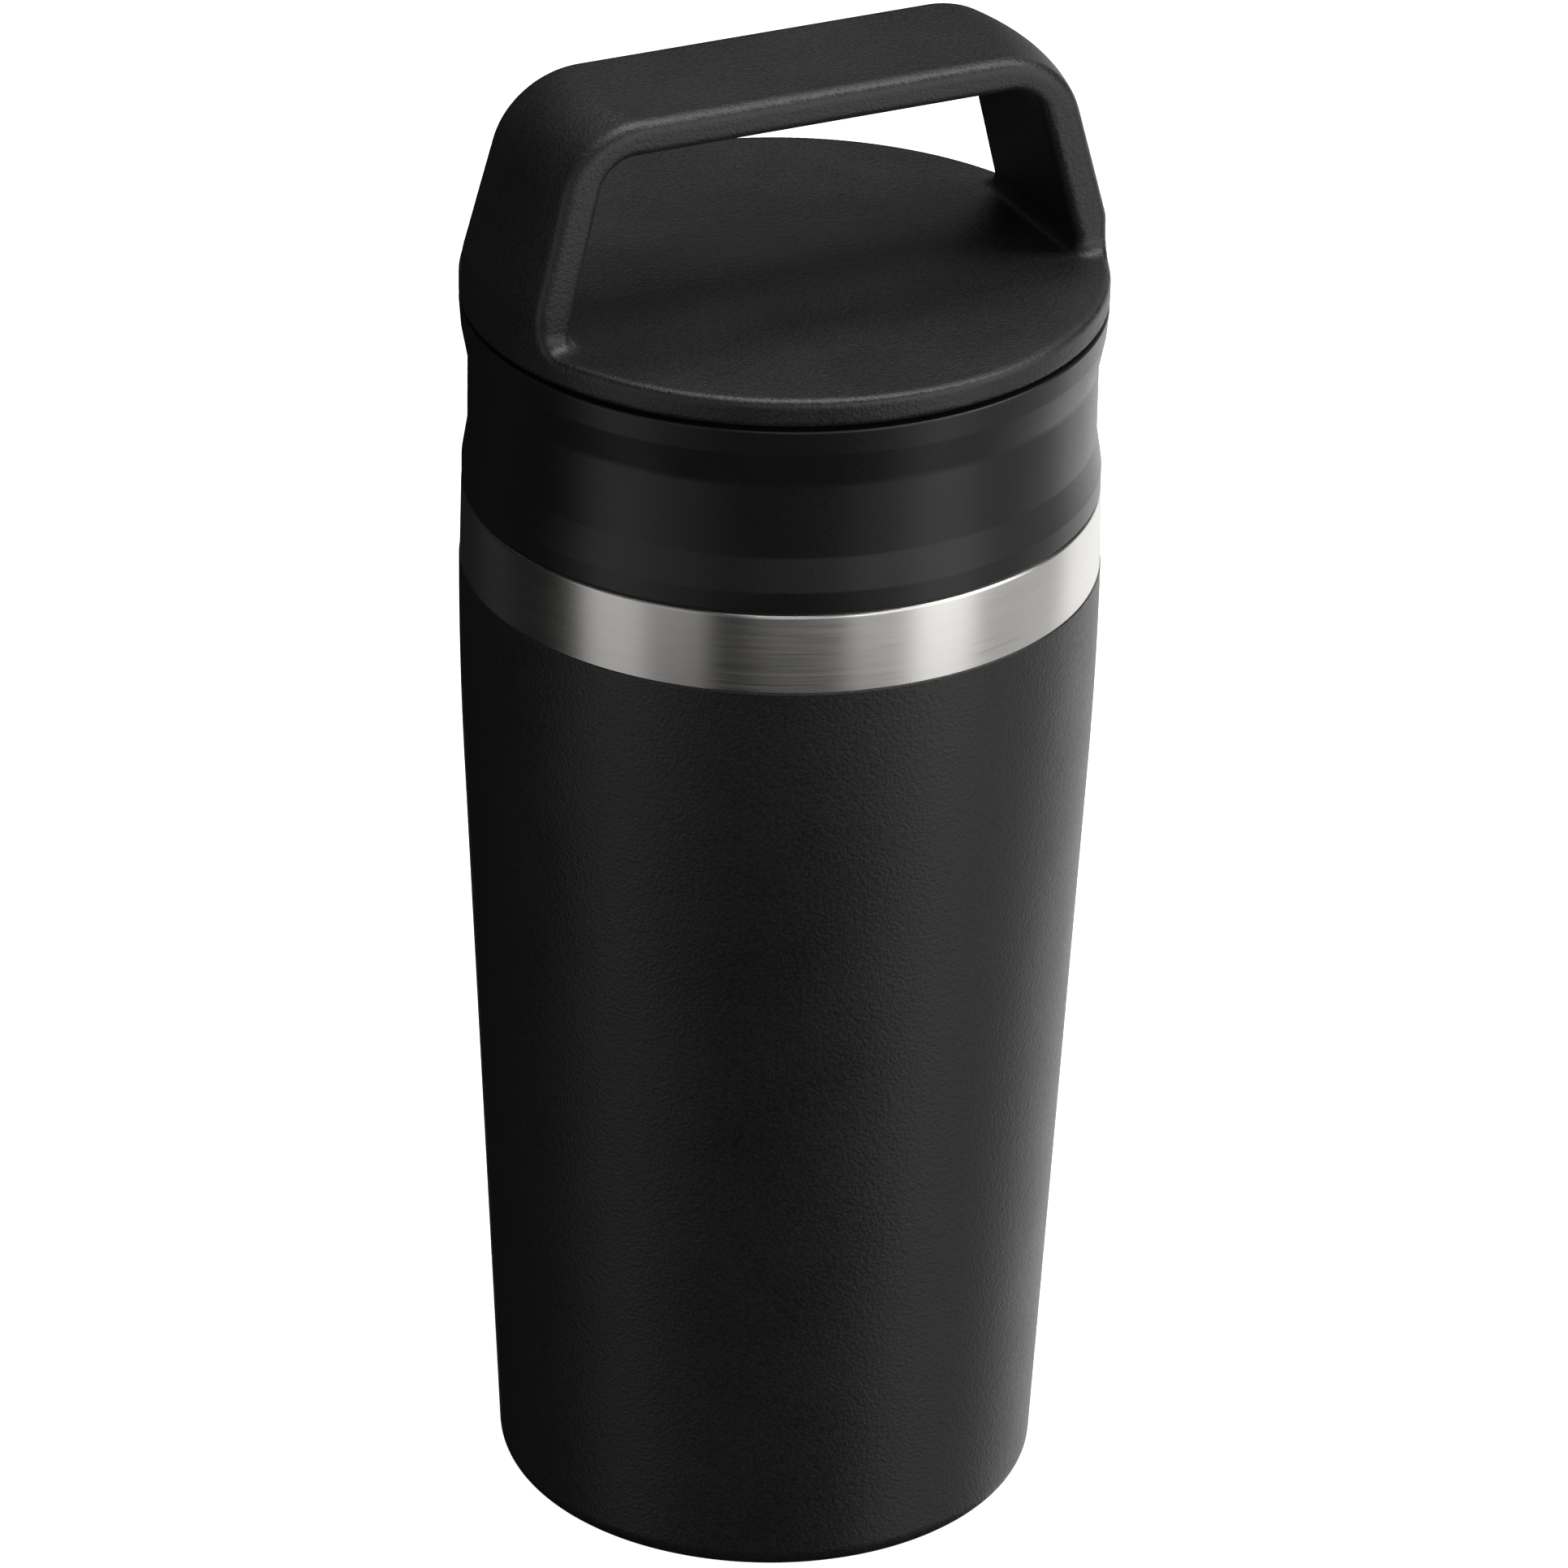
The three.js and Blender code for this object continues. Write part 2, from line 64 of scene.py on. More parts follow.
SHELL_LOW, SHELL_HIGH = node_box("outer_shell")
CUP_LOW, CUP_HIGH = node_box("inner_shell")
COLLAR_LOW, COLLAR_TOP = node_box("drinking_collar")
RING_LOW, RING_HIGH = node_box("collar_thread_ring")
GASKET_LOW, GASKET_HIGH = node_box("collar_gasket")
CAP_LOW, CAP_HIGH = node_box("cap_shell")
PLUG_LOW, PLUG_HIGH = node_box("cap_plug")
SEAL_LOW, SEAL_HIGH = node_box("cap_seal")
FOAM_LOW, FOAM_HIGH = node_box("cap_foam")
PLATE_LOW, PLATE_HIGH = node_box("base_plate")
PAD_HIGH = node_box("base_pad")[1]

COAT_TOP = SHELL_HIGH[2]
LIP = CUP_HIGH[2]
DRINKING_LIP = COLLAR_TOP[2]
CAP_FOOT = CAP_LOW[2]
HANDLE_TOP = CAP_HIGH[2]
CAP_RADIUS = CAP_HIGH[0]
COAT_RADIUS = SHELL_HIGH[0]
BAND_RADIUS = CUP_HIGH[0]

# ---- Sizes that the visual outlines add ---------------------------------------------------------

SHEET = 0.6
EASE_HEIGHT = 28
TAPER = 0.0505
WALL_INSET = 4.2
NECK_RADIUS = 35.5
NECK_DEPTH = 17.5
NECK_SHOULDER = 3
BAND_TOP_RADIUS = 39.64
DISC_THICKNESS = 3.4
DISC_TOP = CAP_FOOT + DISC_THICKNESS
JOINT_GAP = 0.05  # between pieces that are fixed to each other

# Threads: lengths in turns, a female ridge starting half a pitch above the male one
LEAD = 10
STARTS = 2
HALF_PITCH = LEAD / STARTS / 2
CAD_FACETS = 48  # in a turn of the CAD's ridges, whose lengths these are
MALE_TURNS = 16 / CAD_FACETS
NECK_RIDGE, NECK_THREAD_LOW, NECK_FEMALE_TURNS = 1.1, LIP - 12.4, 37 / CAD_FACETS
CAP_RIDGE, CAP_THREAD_LOW, CAP_FEMALE_TURNS = 1, CAP_FOOT - 14.2, 43 / CAD_FACETS
RIDGE_HALF_ROOT, RIDGE_HALF_CREST = 0.95, 0.5
RIDGE_FADE = 0.05  # turns over which a ridge runs out at each end

SEGMENTS = 256  # round every turned piece
ROW_STEP = 0.2  # between the rows of points on a threaded wall


# ---- Mesh helpers -------------------------------------------------------------------------------


def rounded(corners, steps=6):
    """Outline through (radius, height, fillet) corners, each fillet an arc of `steps` chords."""
    points = [np.array(corner[:2], float) for corner in corners]
    outline = []
    for i, (_, _, fillet) in enumerate(corners):
        here = points[i]
        if not fillet:
            outline.append(tuple(here))
            continue
        before = points[i - 1] - here
        after = points[(i + 1) % len(points)] - here
        before /= np.linalg.norm(before)
        after /= np.linalg.norm(after)
        half = math.acos(np.clip(before @ after, -1, 1)) / 2
        middle = (before + after) / np.linalg.norm(before + after)
        centre = here + middle * fillet / math.sin(half)
        start = here + before * fillet / math.tan(half) - centre
        end = here + after * fillet / math.tan(half) - centre
        turn = math.atan2(start[0] * end[1] - start[1] * end[0], start @ end)
        for k in range(steps + 1):
            angle = turn * k / steps
            spin = np.array([[math.cos(angle), -math.sin(angle)], [math.sin(angle), math.cos(angle)]])
            outline.append(tuple(centre + spin @ start))
    return outline


def threaded_wall(start, end):
    """Closely spaced points on a straight line, without its end."""
    count = round(math.dist(start, end) / ROW_STEP)
    return [tuple(np.array(start) + (np.array(end) - start) * k / count) for k in range(count)]


def make_object(name, vertices, faces):
    """A smooth-shaded object from millimetre vertices, with its faces pointing out."""
    mesh = bpy.data.meshes.new(name)
    mesh.from_pydata((np.asarray(vertices) * MM).tolist(), [], faces)
    shape = bmesh.new()
    shape.from_mesh(mesh)
    bmesh.ops.recalc_face_normals(shape, faces=shape.faces)
    shape.to_mesh(mesh)
    shape.free()
    mesh.shade_smooth()
    made = bpy.data.objects.new(name, mesh)
    bpy.context.scene.collection.objects.link(made)
    weighted = made.modifiers.new("weighted normals", "WEIGHTED_NORMAL")
    weighted.weight = 80
    weighted.keep_sharp = True
    return made


def turned(name, outline, relief=None):
    """A solid of revolution. relief(angle, radius, height) moves points outward, for thread ridges."""
    angle = np.arange(SEGMENTS) * 2 * math.pi / SEGMENTS
    vertices = []
    rings = []
    for radius, height in outline:
        first = len(vertices)
        if radius < 1e-6:
            vertices.append((0, 0, height))
            rings.append([first] * SEGMENTS)
            continue
        out = radius + (relief(angle, radius, height) if relief else 0)
        around = np.column_stack((out * np.cos(angle), out * np.sin(angle), np.full(SEGMENTS, height)))
        vertices.extend(map(tuple, around))
        rings.append(list(range(first, first + SEGMENTS)))
    on_axis = outline[0][0] < 1e-6
    pairs = list(zip(rings, rings[1:])) if on_axis else list(zip(rings, rings[1:] + rings[:1]))
    faces = []
    for low, high in pairs:
        for i in range(SEGMENTS):
            j = (i + 1) % SEGMENTS
            corners = dict.fromkeys((low[i], low[j], high[j], high[i]))
            faces.append(tuple(corners))
    return make_object(name, vertices, faces)


def smoothstep(low, high, value):
    share = np.clip((value - low) / (high - low), 0, 1)
    return share * share * (3 - 2 * share)


def thread(low, turns, height, wall):
    """Relief of two-start helical ridges on the wall at radius `wall`, from height `low` over `turns`.
    A positive height stands outward. Ridges start where the CAD's do, at the -Y side and opposite."""

    def relief(angle, radius, z):
        if abs(radius - wall) > 1e-6:
            return 0
        total = np.zeros_like(angle)
        for start in range(STARTS):
            from_start = (angle + math.pi / 2 - start * 2 * math.pi / STARTS) % (2 * math.pi)
            for lap in (0, 1):
                run = from_start / (2 * math.pi) + lap
                fade = smoothstep(0, RIDGE_FADE, run) * smoothstep(0, RIDGE_FADE, turns - run)
                away = np.abs(z - low - LEAD * run)
                ridge = 1 - smoothstep(RIDGE_HALF_CREST, RIDGE_HALF_ROOT, away)
                total = np.maximum(total, ridge * fade)
        return total * height

    return relief


# ---- Vessel -------------------------------------------------------------------------------------


def coat_radius(z):
    """Radius of the coated wall: upright at its upper edge, easing into a straight taper."""
    drop = COAT_TOP - z
    if drop < EASE_HEIGHT:
        return COAT_RADIUS - TAPER * drop * drop / (2 * EASE_HEIGHT)
    return COAT_RADIUS - TAPER * (drop - EASE_HEIGHT / 2)


def wall(top, bottom, inset):
    """Points down the tapered wall, `inset` inside its outer surface."""
    ease_bottom = COAT_TOP - EASE_HEIGHT
    heights = list(np.linspace(top, ease_bottom, 9)) + list(np.linspace(ease_bottom, bottom, 7)[1:])
    return [(coat_radius(z) - inset, z, 0) for z in heights]


def coated_body():
    foot = SHELL_LOW[2]
    opening = PLATE_HIGH[0] + JOINT_GAP
    lip = PLATE_HIGH[2] - 1.2
    corner, edge = 3.4, 0.25
    wall_top, wall_bottom = COAT_TOP - 1, foot + corner + 3
    outline = rounded(
        [(COAT_RADIUS - SHEET, COAT_TOP, 0), (COAT_RADIUS, COAT_TOP, edge)]
        + wall(wall_top, wall_bottom, 0)
        + [
            (coat_radius(foot), foot, corner),
            (opening, foot, 0.3),
            (opening, lip, 0.2),
            (opening + SHEET, lip, 0.2),
            (opening + SHEET, foot + SHEET, 0.1),
            (coat_radius(foot) - SHEET, foot + SHEET, corner - SHEET),
        ]
        + wall(wall_top, wall_bottom, SHEET)[::-1],
        steps=12,
    )
    return turned("coated_body", outline)


def steel_cup():
    floor = CUP_LOW[2] + SHEET
    corner = 9
    neck_low = LIP - NECK_DEPTH
    shoulder = neck_low - NECK_SHOULDER
    band_low = COAT_TOP + JOINT_GAP
    lip_fillet = 0.6
    bottom = floor + corner + 4
    floor_radius = coat_radius(floor) - WALL_INSET
    inside = rounded(
        [(0, floor, 0), (floor_radius, floor, corner)]
        + wall(shoulder, bottom, WALL_INSET)[::-1],
        steps=12,
    )
    mouth = rounded(
        [
            (NECK_RADIUS, neck_low, 0),
            (NECK_RADIUS, LIP, lip_fillet),
            (BAND_TOP_RADIUS, LIP, 0.45),
            (BAND_RADIUS, band_low, 0),
            (BAND_RADIUS - SHEET, band_low, 0),
            (BAND_TOP_RADIUS - SHEET, LIP - SHEET, 0.1),
            (NECK_RADIUS + SHEET, LIP - SHEET, 0.1),
            (NECK_RADIUS + SHEET, neck_low, 0),
        ],
        steps=8,
    )
    outside = rounded(
        wall(shoulder, bottom, WALL_INSET - SHEET)
        + [(floor_radius + SHEET, floor - SHEET, corner + SHEET), (0, floor - SHEET, 0)],
        steps=12,
    )
    threaded = threaded_wall((NECK_RADIUS, neck_low), (NECK_RADIUS, LIP - lip_fillet))
    ridges = thread(NECK_THREAD_LOW + HALF_PITCH, NECK_FEMALE_TURNS, -NECK_RIDGE, NECK_RADIUS)
    return turned("steel_cup", inside + threaded + mouth[1:] + outside, ridges)


def foot_plate():
    top, low = PLATE_HIGH[2], PLATE_LOW[2]
    floor = low + 0.7
    radius = PLATE_HIGH[0]
    dimple, port = 6, 0.9
    outline = rounded(
        [
            (radius, low, 0.15),
            (radius, floor + SHEET, 0.3),
            (dimple, floor + SHEET, 0.5),
            (dimple - 2, top, 0.5),
            (port, top, 0),
            (port, top - SHEET, 0),
            (dimple - 2, top - SHEET, 0.5),
            (dimple, floor, 0.5),
            (radius - SHEET, floor, 0.2),
            (radius - SHEET, low, 0.15),
        ]
    )
    return turned("foot_plate", outline)


def foot_pad():
    radius, top = PAD_HIGH[0], PAD_HIGH[2]
    groove_in, groove_out, depth = 21.5, 23, 0.5
    outline = rounded(
        [
            (0, 0, 0),
            (groove_in, 0, 0.2),
            (groove_in + 0.3, depth, 0.15),
            (groove_out - 0.3, depth, 0.15),
            (groove_out, 0, 0.2),
            (radius, 0, 0.6),
            (radius, top, 0.3),
            (0, top, 0),
        ]
    )
    return turned("foot_pad", outline)


# ---- Collar -------------------------------------------------------------------------------------

COLLAR_BORE = 32.8
COLLAR_LINING = 1.8


def collar_moulding():
    foot = COLLAR_LOW[2]
    top = DRINKING_LIP
    foot_radius, waist, rim = 39.6, 38.9, CAP_RADIUS
    flare_low, flare_high, slope_low, slope_high = LIP + 3, LIP + 7.4, LIP + 17, LIP + 21.4
    skin, crown = 1.7, 2.2
    lining = COLLAR_BORE + COLLAR_LINING
    lining_foot = LIP + 7.55
    bore_top = top - 1.4
    outside = [
        (foot_radius - skin, foot, 0.2),
        (foot_radius, foot, 0.35),
        (foot_radius, flare_low, 2),
        (waist, flare_high, 2),
        (waist, slope_low, 5),
        (rim - 0.25, slope_high, 3),
        (rim, top - 0.35, 0.25),
        (rim - 2, top, 1.5),
        (COLLAR_BORE, top, 1.35),
        (COLLAR_BORE, bore_top, 0),
    ]
    inside = [
        (COLLAR_BORE, lining_foot, 0),
        (lining, lining_foot, 0),
        (lining, top - crown, 0.5),
        (rim - skin, top - crown, 0.5),
        (rim - skin, slope_high, 1),
        (waist - skin, slope_low, 3),
        (waist - skin, flare_high, 3),
        (foot_radius - skin, flare_low, 1),
    ]
    outline = rounded(outside + inside, steps=10)
    start = outline.index((COLLAR_BORE, bore_top))
    bore = threaded_wall((COLLAR_BORE, bore_top), (COLLAR_BORE, lining_foot))
    outline = outline[:start] + bore + outline[start + 1 :]
    ridges = thread(CAP_THREAD_LOW + HALF_PITCH, CAP_FEMALE_TURNS, -CAP_RIDGE, COLLAR_BORE)
    return turned("collar_moulding", outline, ridges)


def thread_ring_moulding():
    shank, bore, seat = 34.1, 31.6, 29.8
    low = RING_LOW[2]
    shank_foot = low + 0.9
    seat_height = RING_HIGH[2]
    flange, flange_low, flange_high = RING_HIGH[0], LIP + 1.4, LIP + 3.8
    seat_outer = COLLAR_BORE + COLLAR_LINING
    ledge = 2.2
    under_seat = seat_height - ledge - (bore - seat)
    outline = rounded(
        [
            (shank, flange_low, 0),
            (flange, flange_low, 0.25),
            (flange, flange_high, 0.25),
            (seat_outer, flange_high, 0.2),
            (seat_outer, seat_height, 0.2),
            (seat, seat_height, 0.5),
            (seat, seat_height - ledge, 0.5),
            (bore, under_seat, 1),
            (bore, low, 0.8),
            (shank, low, 0.8),
            (shank, shank_foot, 0),
        ]
    )
    shank_wall = threaded_wall((shank, shank_foot), (shank, flange_low))
    ridges = thread(NECK_THREAD_LOW, MALE_TURNS, NECK_RIDGE, shank)
    return turned("thread_ring_moulding", outline[:-1] + shank_wall, ridges)


def ring(name, inner, outer, low, high, fillet):
    """A plain ring with rounded edges and one shallow groove round its outer face."""
    middle = (low + high) / 2
    half_groove, groove_depth = 0.3, 0.12
    outline = rounded(
        [
            (inner, low, fillet),
            (outer, low, fillet),
            (outer, middle - half_groove, 0.1),
            (outer - groove_depth, middle, 0.1),
            (outer, middle + half_groove, 0.1),
            (outer, high, fillet),
            (inner, high, fillet),
        ]
    )
    return turned(name, outline)


# ---- Cap ----------------------------------------------------------------------------------------

# Handle, heights from the top of the disc
CREASE = 4.4  # the outer faces stay flush with the disc's wall up to here
LEAN = 0.266  # inward lean of the legs for each millimetre of height
LEG_THICKNESS = 6.4
BAR_THICKNESS = 4.2
HALF_WIDTH = 12.1
NARROWING = 0.055  # half width lost per millimetre of height
OUTER_CORNER = 11
INNER_CORNER = 4.8
FOOT_FILLET = 2.2
CREASE_FILLET = 6
EDGE_FILLET = 1.5
INNER_EDGE_FILLET = 1.2
DISC_FILLET = 0.9
UNDER_FILLET = 0.4
RECESS_FILLET = 0.3
RECESS_RADIUS, RECESS_DEPTH = 36.2, 1.4


def both(a, b, fillet, lean=0.0):
    """Intersection of two distance fields, with a true arc along the edge where they meet.
    `lean` is the cosine of the angle between the two surfaces' normals."""
    u, v = a + fillet, b + fillet
    across = np.maximum(u * u + v * v - 2 * lean * u * v, 0) / (1 - lean * lean)
    on_arc = (u > lean * v) & (v > lean * u)
    return np.where(on_arc, np.sqrt(across), np.maximum(u, v)) - fillet


def either(a, b, fillet):
    """Union of two distance fields with a filleted inner corner."""
    return -both(-a, -b, fillet)


def cap_field(x, y, z):
    """Distance field of the cap disc and its handle, negative inside, in millimetres."""
    radius = np.hypot(x, y)
    above = z - DISC_TOP
    flat = math.cos(math.atan(LEAN))
    tilt = math.sin(math.atan(LEAN))
    cone = (radius - CAP_RADIUS + LEAN * (above - CREASE)) * flat
    side = both(radius - CAP_RADIUS, cone, CREASE_FILLET, flat)
    outer = both(side, z - HANDLE_TOP, OUTER_CORNER, tilt)
    inner_leg = (np.abs(x) - CAP_RADIUS + LEG_THICKNESS + LEAN * (above - CREASE)) * flat
    opening = both(inner_leg, z - HANDLE_TOP + BAR_THICKNESS, INNER_CORNER, tilt)
    width = np.abs(y) - HALF_WIDTH + NARROWING * np.maximum(above, 0)
    loop = both(width, -opening, INNER_EDGE_FILLET)
    body = either(loop, above, FOOT_FILLET)
    edge = DISC_FILLET + (EDGE_FILLET - DISC_FILLET) * smoothstep(-0.5, CREASE, above)
    upright = smoothstep(0, CREASE, above) * (1 - smoothstep(-OUTER_CORNER, 0, z - HANDLE_TOP))
    meeting = np.minimum(np.abs(y) / CAP_RADIUS, 0.5) * upright
    body = both(body, outer, edge, meeting)
    recess = np.maximum(radius - RECESS_RADIUS, z - CAP_FOOT - RECESS_DEPTH)
    return both(both(body, CAP_FOOT - z, UNDER_FILLET), -recess, RECESS_FILLET)


def field_mesh(name, field, low, high, step):
    """Surface of a distance field: meshed on a grid, then moved onto the exact surface."""
    axes = [np.arange(low[k] - 2 * step, high[k] + 2 * step, step) for k in range(3)]
    values = field(*np.meshgrid(*axes, indexing="ij", sparse=True)).astype(np.float32)
    grid = openvdb.FloatGrid(3 * step)
    grid.copyFromArray(values)
    points, quads = grid.convertToQuads(0.0)
    points = np.array(points, float) * step + [axis[0] for axis in axes]
    nudge, passes, least_steepness = 0.02, 4, 0.25
    for _ in range(passes):
        here = field(*points.T)
        slope = np.column_stack(
            [(field(*(points + offset).T) - here) / nudge for offset in np.eye(3) * nudge]
        )
        steepness = np.maximum((slope**2).sum(1), least_steepness)
        points -= np.clip(here / steepness, -step / 2, step / 2)[:, None] * slope
    return make_object(name, points, np.array(quads)[:, ::-1].tolist())


def cap_moulding():
    grid_step = 0.45
    return field_mesh("cap_moulding", cap_field, CAP_LOW, CAP_HIGH, grid_step)


def plug_moulding():
    shank = 31.5
    bore = shank - 1.6
    low, high = PLUG_LOW[2], PLUG_HIGH[2]
    spigot, flange = 28.2, PLUG_HIGH[0]
    floor_low = low + 1.7
    floor_top, shank_foot = floor_low + 1.6, floor_low + 0.6
    outline = rounded(
        [
            (0, low, 0),
            (spigot, low, 0.6),
            (spigot, floor_low, 0.2),
            (shank, floor_low, 0.5),
            (shank, shank_foot, 0),
        ]
    )
    outline += threaded_wall((shank, shank_foot), (shank, CAP_FOOT))
    outline += rounded(
        [
            (shank, CAP_FOOT, 0),
            (flange, CAP_FOOT, 0.3),
            (flange, high, 0.2),
            (bore, high, 0.2),
            (bore, floor_top, 0.5),
            (0, floor_top, 0),
        ]
    )
    ridges = thread(CAP_THREAD_LOW, MALE_TURNS, CAP_RIDGE, shank)
    return turned("plug_moulding", outline, ridges)


def foam_disc():
    radius, low, high = FOAM_HIGH[0], FOAM_LOW[2], FOAM_HIGH[2]
    outline = rounded([(0, low, 0), (radius, low, 0.8), (radius, high, 0.8), (0, high, 0)])
    return turned("foam_disc", outline)


# ---- Materials ----------------------------------------------------------------------------------


def node(tree, kind, inputs=None, **settings):
    """Adds a node. An input given as a socket is linked, any other value is set."""
    made = tree.nodes.new(kind)
    for key, value in settings.items():
        setattr(made, key, value)
    for key, value in (inputs or {}).items():
        if isinstance(value, bpy.types.NodeSocket):
            tree.links.new(value, made.inputs[key])
        else:
            made.inputs[key].default_value = value
    return made


def maths(tree, operation, *values):
    return node(tree, "ShaderNodeMath", dict(enumerate(values)), operation=operation).outputs[0]


def noise(tree, vector, per_mm, detail, roughness):
    """Noise with about `per_mm` features to the millimetre."""
    inputs = {"Vector": vector, "Scale": per_mm / MM, "Detail": detail, "Roughness": roughness}
    return node(tree, "ShaderNodeTexNoise", inputs).outputs["Fac"]


def blend_range(tree, value, low, high):
    """Maps a noise value, which mostly lies between 0.3 and 0.7, onto the range low to high."""
    inputs = {"Value": value, 1: 0.3, 2: 0.7, 3: low, 4: high}
    return node(tree, "ShaderNodeMapRange", inputs).outputs[0]


def blend_colour(tree, value, low, high):
    inputs = {0: value, 6: (*low, 1), 7: (*high, 1)}
    return node(tree, "ShaderNodeMix", inputs, data_type="RGBA").outputs[2]


def bump(tree, height, depth_mm, after=None):
    inputs = {"Height": height, "Distance": depth_mm * MM}
    if after is not None:
        inputs["Normal"] = after
    return node(tree, "ShaderNodeBump", inputs).outputs[0]


def new_material(name):
    """A node material, with its tree, its Principled shader and its object coordinates."""
    material = bpy.data.materials.new(name)
    material.use_nodes = True
    tree = material.node_tree
    shader = tree.nodes["Principled BSDF"]
    point = node(tree, "ShaderNodeTexCoord").outputs["Object"]
    return material, tree, shader, point


def grained(name, dark, light, rough, grain_per_mm, depth_mm, specular=0.5):
    """A moulded or coated surface: fine grain, faint cloudiness in colour and gloss."""
    material, tree, shader, point = new_material(name)
    pebble_per_mm, cloud_per_mm = grain_per_mm * 0.45, 0.05
    pebble_depth_mm = depth_mm * 0.35
    cloud_share, grain_share = 0.4, 0.6
    grain = noise(tree, point, grain_per_mm, 1.0, 0.5)
    pebble = noise(tree, point, pebble_per_mm, 2.0, 0.5)
    cloud = noise(tree, point, cloud_per_mm, 3.0, 0.6)
    clouded = blend_range(tree, cloud, 0, cloud_share)
    speckle = maths(tree, "ADD", clouded, blend_range(tree, grain, 0, grain_share))
    tree.links.new(blend_colour(tree, speckle, dark, light), shader.inputs["Base Color"])
    patches = blend_range(tree, cloud, -0.03, 0.03)
    specks = blend_range(tree, grain, rough - 0.04, rough + 0.04)
    tree.links.new(maths(tree, "ADD", patches, specks), shader.inputs["Roughness"])
    coarse = bump(tree, pebble, pebble_depth_mm)
    tree.links.new(bump(tree, grain, depth_mm, after=coarse), shader.inputs["Normal"])
    shader.inputs["Specular IOR Level"].default_value = specular
    return material


def brushed(name, dark, light, rough):
    """Steel brushed round its axis: fine lines run round it, so highlights spread up and down."""
    material, tree, shader, point = new_material(name)
    axes = node(tree, "ShaderNodeSeparateXYZ", {0: point})
    angle = maths(tree, "ARCTAN2", axes.outputs[1], axes.outputs[0])
    level = node(tree, "ShaderNodeCombineXYZ", {0: axes.outputs[0], 1: axes.outputs[1]}).outputs[0]
    radius = node(tree, "ShaderNodeVectorMath", {0: level}, operation="LENGTH").outputs["Value"]
    stretch = 0.0004  # metres of pattern to a radian, which draws the lines out round the axis
    along = maths(tree, "MULTIPLY", angle, stretch)
    line_point = node(tree, "ShaderNodeCombineXYZ", {0: along, 1: axes.outputs[2], 2: radius}).outputs[0]
    fine_per_mm, broad_per_mm, line_depth_mm = 11.0, 3.0, 0.0012
    fine = noise(tree, line_point, fine_per_mm, 2.0, 0.6)
    broad = noise(tree, line_point, broad_per_mm, 2.0, 0.5)
    colour = blend_colour(tree, blend_range(tree, fine, 0, 1), dark, light)
    tree.links.new(colour, shader.inputs["Base Color"])
    bands = blend_range(tree, broad, -0.02, 0.02)
    lines = blend_range(tree, fine, rough - 0.03, rough + 0.03)
    tree.links.new(maths(tree, "ADD", bands, lines), shader.inputs["Roughness"])
    tree.links.new(bump(tree, fine, line_depth_mm), shader.inputs["Normal"])
    shader.inputs["Metallic"].default_value = 1
    shader.inputs["Anisotropic"].default_value = 0.8
    shader.inputs["Anisotropic Rotation"].default_value = 0.25
    tangent = node(tree, "ShaderNodeTangent", direction_type="RADIAL", axis="Z").outputs[0]
    tree.links.new(tangent, shader.inputs["Tangent"])
    return material


def grey(value):
    return (value, value, value)


# Each: name, darker colour, lighter colour and roughness. A grained one adds its grain per millimetre
# and the grain's depth in millimetres.
MATERIALS = {
    "powder_coat": grained(
        "powder coat", (0.007, 0.0073, 0.0071), (0.016, 0.0163, 0.0159), 0.42, 2.3, 0.07
    ),
    "bare_steel": brushed("brushed steel", (0.68, 0.665, 0.64), (0.76, 0.745, 0.72), 0.33),
    "base_steel": brushed("base steel", (0.55, 0.54, 0.52), (0.66, 0.65, 0.63), 0.42),
    "seal_metal": grained("braze", (0.28, 0.26, 0.22), (0.42, 0.39, 0.34), 0.5, 3.0, 0.02),
    "getter_metal": grained("getter", (0.16, 0.165, 0.17), (0.25, 0.255, 0.26), 0.6, 4.0, 0.02),
    "pad_rubber": grained("pad rubber", (0.016, 0.016, 0.0165), (0.022, 0.022, 0.023), 0.7, 3.0, 0.02),
    "gasket_rubber": grained(
        "gasket silicone", (0.03, 0.03, 0.031), (0.038, 0.038, 0.04), 0.55, 3.0, 0.006
    ),
    "seal_rubber": grained("seal silicone", (0.03, 0.03, 0.031), (0.038, 0.038, 0.04), 0.55, 3.0, 0.006),
    "collar_plastic": grained(
        "satin plastic", grey(0.0085), grey(0.0105), 0.33, 4.5, 0.006, specular=0.43
    ),
    "thread_plastic": grained("thread plastic", grey(0.012), grey(0.015), 0.4, 4.5, 0.005),
    "cap_plastic": grained("grained plastic", grey(0.008), grey(0.019), 0.43, 2.5, 0.07),
    "plug_plastic": grained("plug plastic", grey(0.012), grey(0.015), 0.4, 4.5, 0.005),
    "foam": grained("foam", (0.62, 0.6, 0.54), (0.74, 0.72, 0.66), 0.9, 1.2, 0.12),
}

# ---- Assembly -----------------------------------------------------------------------------------


def attach(piece, body, node_name, slot):
    """Rides the piece on its body, hides the CAD node it stands for, and gives it its finish."""
    piece.data.materials.append(MATERIALS[slot])
    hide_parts(node_name)
    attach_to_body(piece, body)


def dress(node_name, slot):
    """A CAD node that stays: only its material changes."""
    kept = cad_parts[node_name]
    kept.data.materials.clear()
    kept.data.materials.append(MATERIALS[slot])


